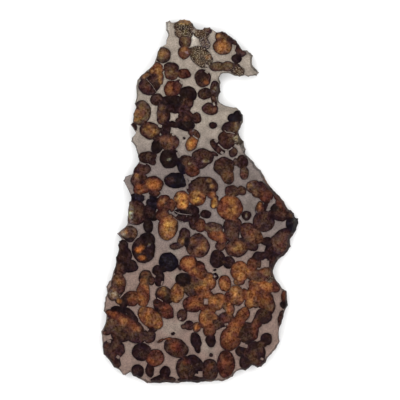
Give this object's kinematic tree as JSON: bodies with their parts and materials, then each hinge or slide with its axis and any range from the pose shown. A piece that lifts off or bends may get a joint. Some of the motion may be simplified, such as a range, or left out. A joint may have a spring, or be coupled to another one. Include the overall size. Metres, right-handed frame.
{
  "type": "pallasite meteorite slice",
  "caption": "Thin polished slice of a pallasite meteorite: rounded olivine crystals, amber to black, held in a bright nickel-iron matrix, with a ragged broken outline.",
  "frame": {"origin": "centre of the slice's box, on the flat back face that it lies on", "axes": "+Y along the slice's length towards its narrow top, +X to the right as seen from the polished face, +Z out of the polished face"},
  "size_m": [0.0658, 0.1216, 0.003],
  "materials": {
    "olivine_ash": "polished",
    "olivine_honey": "polished",
    "olivine_umber": "polished",
    "olivine_olive": "polished",
    "olivine_brown": "polished",
    "olivine_plum": "polished",
    "olivine_rust": "polished",
    "olivine_black": "polished",
    "olivine_amber": "polished",
    "olivine_orange": "polished",
    "nickel_iron": "fine polished, softly etched"
  },
  "bodies": {
    "root": {"crown_crystals": "olivine_ash", "crown_honey_crystal": "olivine_honey", "crown_edge_crystals": "olivine_umber", "brow_olive_crystal": "olivine_olive", "brow_bar_crystals": "olivine_brown", "neck_dark_pair": "olivine_umber", "neck_oval_crystal": "olivine_brown", "left_shoulder_crystals": "olivine_plum", "neck_rust_crystal": "olivine_rust", "neck_side_crystals": "olivine_umber", "dark_chain_crystals": "olivine_black", "mottled_amber_crystal": "olivine_amber", "small_black_crystal": "olivine_black", "right_shoulder_crystals": "olivine_umber", "amber_seed_crystals": "olivine_honey", "honey_and_dark_crystals": "olivine_brown", "left_brown_crystals": "olivine_brown", "grey_mass_crystals": "olivine_ash", "right_small_crystals": "olivine_umber", "drop_crystal": "olivine_brown", "black_bean_crystal": "olivine_black", "left_orange_crystals": "olivine_orange", "right_olive_crystals": "olivine_rust", "centre_brown_crystals": "olivine_brown", "left_middle_crystals": "olivine_plum", "right_point_crystals": "olivine_plum", "centre_vein_crystals": "olivine_black", "centre_black_crystal": "olivine_black", "right_black_crystal": "olivine_black", "centre_orange_crystals": "olivine_orange", "left_tip_crystal": "olivine_brown", "centre_grey_crystals": "olivine_ash", "right_honey_crystals": "olivine_honey", "left_large_dark_crystal": "olivine_umber", "lower_black_pair": "olivine_black", "right_dark_crystals": "olivine_plum", "left_edge_crystals": "olivine_plum", "black_round_crystals": "olivine_black", "small_amber_crystal": "olivine_amber", "centre_amber_crystals": "olivine_amber", "left_column_crystals": "olivine_orange", "right_amber_crystals": "olivine_orange", "right_rim_crystals": "olivine_umber", "round_amber_crystal": "olivine_amber", "brick_and_amber_crystals": "olivine_rust", "small_umber_crystal": "olivine_umber", "lower_amber_crystals": "olivine_amber", "small_orange_pair": "olivine_plum", "lower_right_crystals": "olivine_orange", "lower_left_crystals": "olivine_umber", "black_column_crystal": "olivine_black", "lower_rust_crystal": "olivine_rust", "lower_right_dark_crystals": "olivine_umber", "lower_left_dark_pair": "olivine_black", "lower_red_crystal": "olivine_rust", "foot_crystals": "olivine_rust", "foot_black_crystal": "olivine_black", "foot_edge_crystals": "olivine_umber", "nickel_iron_matrix": "nickel_iron"}
  },
  "joints": []
}
